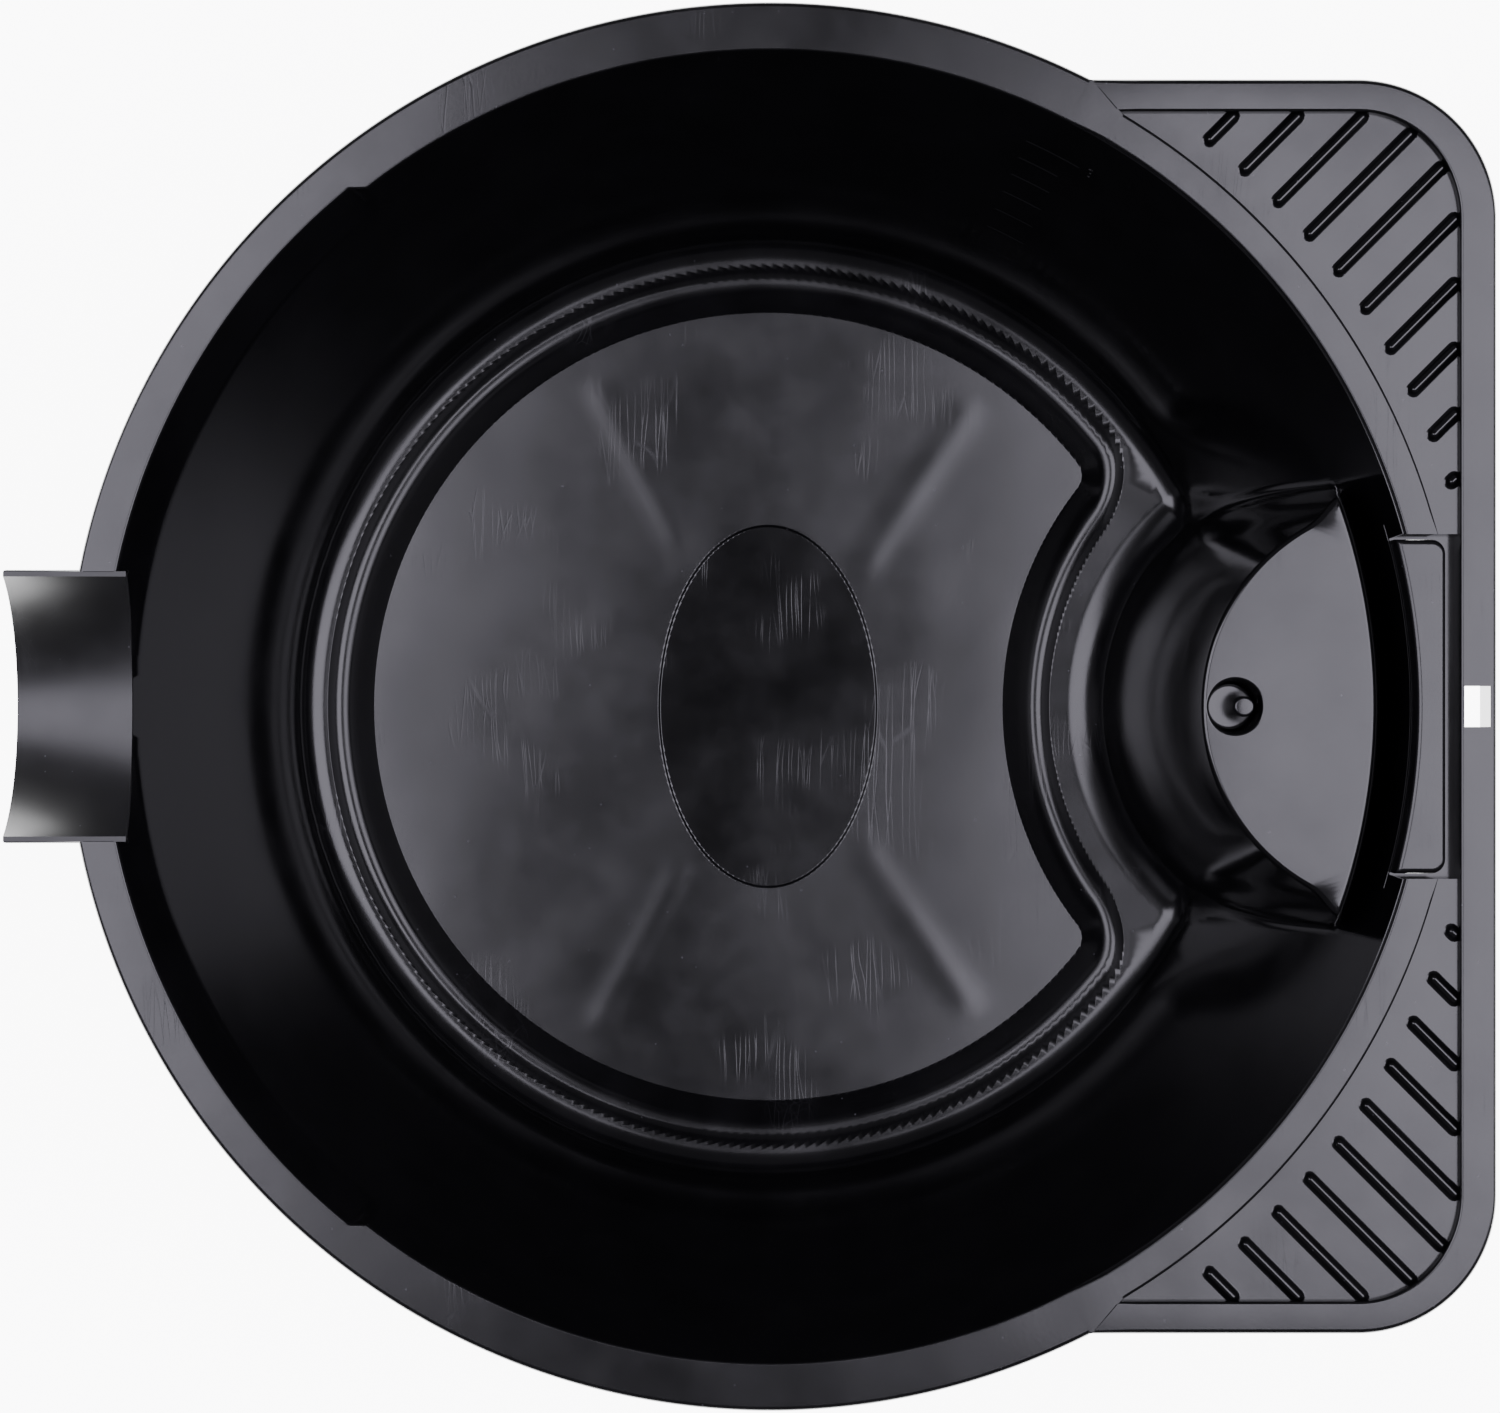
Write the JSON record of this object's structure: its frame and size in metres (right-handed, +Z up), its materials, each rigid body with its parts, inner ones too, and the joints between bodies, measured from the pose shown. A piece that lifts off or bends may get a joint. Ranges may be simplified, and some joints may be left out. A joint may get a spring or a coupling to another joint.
{
  "type": "oil drain pan",
  "caption": "Round black plastic oil drain pan with a pour spout, a ribbed flat handle with a hang slot, and a raised shelf inside for draining a filter.",
  "frame": {"origin": "on the floor plane under the middle of the whole pan, spout tip to handle edge", "axes": "+X from the pour spout towards the handle, +Y across the pan, +Z up; the basin's axis stands at x = 0.0056"},
  "size_m": [0.4184, 0.395, 0.138],
  "materials": {
    "moulded_plastic": "black moulded polyethylene, satin to gloss with light scuffs",
    "scuffed_plastic": "black moulded polyethylene, worn satin"
  },
  "bodies": {
    "root": {"basin_wall": "moulded_plastic", "drain_cup": "moulded_plastic", "drain_peg": "moulded_plastic", "filter_shelf": "moulded_plastic", "filter_tower": "moulded_plastic", "floor_medallion": "scuffed_plastic", "floor_panel": "scuffed_plastic", "foot_channel": "scuffed_plastic", "grip_pad": "moulded_plastic", "grip_web": "moulded_plastic", "gusset_panel_left": "moulded_plastic", "gusset_panel_right": "moulded_plastic", "gusset_rib_left_01": "moulded_plastic", "gusset_rib_left_02": "moulded_plastic", "gusset_rib_left_03": "moulded_plastic", "gusset_rib_left_04": "moulded_plastic", "gusset_rib_left_05": "moulded_plastic", "gusset_rib_left_06": "moulded_plastic", "gusset_rib_left_07": "moulded_plastic", "gusset_rib_left_08": "moulded_plastic", "gusset_rib_left_09": "moulded_plastic", "gusset_rib_left_10": "moulded_plastic", "gusset_rib_right_01": "moulded_plastic", "gusset_rib_right_02": "moulded_plastic", "gusset_rib_right_03": "moulded_plastic", "gusset_rib_right_04": "moulded_plastic", "gusset_rib_right_05": "moulded_plastic", "gusset_rib_right_06": "moulded_plastic", "gusset_rib_right_07": "moulded_plastic", "gusset_rib_right_08": "moulded_plastic", "gusset_rib_right_09": "moulded_plastic", "gusset_rib_right_10": "moulded_plastic", "handle_arm_left": "moulded_plastic", "handle_arm_right": "moulded_plastic", "handle_bar": "moulded_plastic", "pour_spout": "scuffed_plastic", "rim_flange_left": "moulded_plastic", "rim_flange_right": "moulded_plastic", "rim_skirt_left": "moulded_plastic", "rim_skirt_right": "moulded_plastic"}
  },
  "joints": []
}
